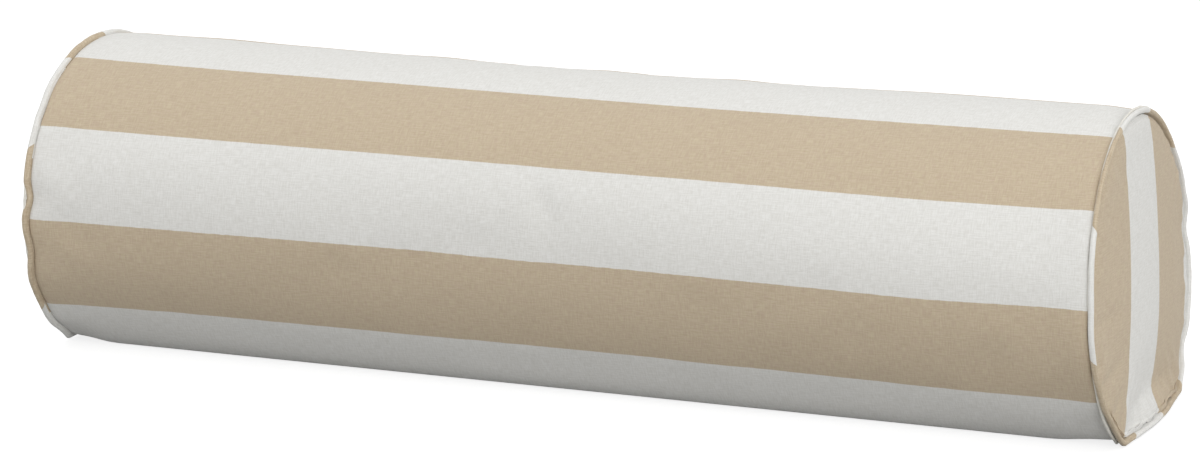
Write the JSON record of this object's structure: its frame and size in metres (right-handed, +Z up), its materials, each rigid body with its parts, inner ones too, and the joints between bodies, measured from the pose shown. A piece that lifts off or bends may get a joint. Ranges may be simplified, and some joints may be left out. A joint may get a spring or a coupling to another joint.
{
  "type": "bolster pillow",
  "caption": "Long soft bolster pillow with wide lengthways stripes, piped domed ends, a flattened base and a hidden zip along its back.",
  "frame": {"origin": "on the floor under the middle of the pillow, at the centre of its flat base", "axes": "+X along the pillow towards the end where the zip is closed, +Y towards the zip at the back, +Z up"},
  "size_m": [0.682, 0.2192, 0.1827],
  "materials": {
    "striped_cloth": "matt woven upholstery cloth with sand and off-white stripes 58 mm wide",
    "piping_cloth": "the cover's own cloth folded round a cord",
    "cotton_cord": "soft twisted cotton",
    "lining_cloth": "plain white lining cloth",
    "fleece": "soft white polyester fleece",
    "foam": "fine open-cell upholstery foam",
    "zip_tape": "woven off-white zip tape",
    "zip_coil": "off-white nylon coil",
    "thread": "sand sewing thread",
    "zip_metal": "nickel-plated zinc, satin"
  },
  "bodies": {
    "pillow": {"cover_body": "striped_cloth", "cover_end_left": "striped_cloth", "cover_end_right": "striped_cloth", "piping_left": "piping_cloth", "piping_right": "piping_cloth", "piping_cord_left": "cotton_cord", "piping_cord_right": "cotton_cord", "insert_case_body": "lining_cloth", "insert_case_end_left": "lining_cloth", "insert_case_end_right": "lining_cloth", "batting_wrap": "fleece", "batting_end_left": "fleece", "batting_end_right": "fleece", "foam_core": "foam", "zipper_tape_upper": "zip_tape", "zipper_tape_lower": "zip_tape", "zipper_coil_upper": "zip_coil", "zipper_coil_lower": "zip_coil", "zipper_tack_left": "thread", "zipper_tack_right": "thread"},
    "slider": {"zipper_slider": "zip_metal"},
    "pull": {"zipper_pull": "zip_metal"}
  },
  "joints": [
    {"name": "zip_slide", "type": "slide", "parent": "pillow", "child": "slider", "axis": [-1, 0, 0], "range_m": [0, 0.4832]},
    {"name": "pull_hinge", "type": "hinge", "parent": "slider", "child": "pull", "pos_m": [0.2416, 0.10422, 0.11221], "axis": [0, 0.3298, -0.944], "range_deg": [0, 180]}
  ]
}
